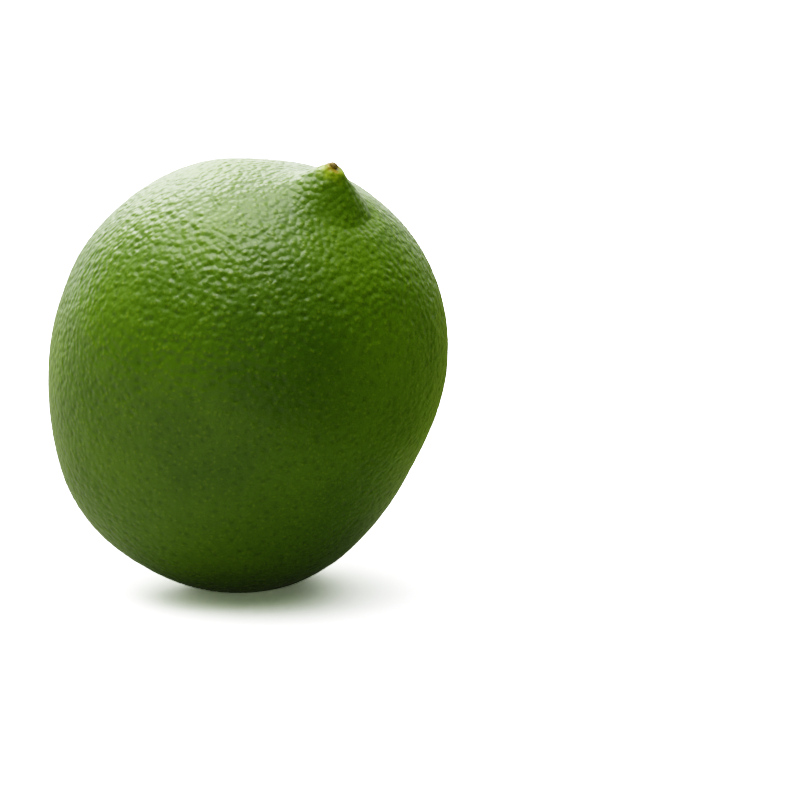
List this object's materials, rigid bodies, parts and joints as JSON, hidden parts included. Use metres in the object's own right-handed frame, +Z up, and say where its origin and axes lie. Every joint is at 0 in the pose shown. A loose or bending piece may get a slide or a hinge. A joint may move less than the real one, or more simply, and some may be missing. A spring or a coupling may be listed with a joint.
{
  "type": "whole lime",
  "caption": "Whole green lime with pebbled peel, a leaning nipple at the blossom end and a dry calyx button in the stem basin, standing on a small flat spot.",
  "frame": {"origin": "middle of the small flat spot that the fruit stands on", "axes": "+Z up from the surface; the long axis leans 30 degrees from +Z towards +X, with the blossom end and its nipple up and the stem end down"},
  "size_m": [0.0611, 0.0582, 0.0658],
  "materials": {
    "peel": "waxy, softly glossy green citrus peel, pebbled by its oil glands",
    "calyx": "dry olive-brown calyx button with a pale cut stalk",
    "style_scar": "dry corky brown scar where the style fell off"
  },
  "bodies": {
    "root": {"lime": "peel"}
  },
  "joints": []
}
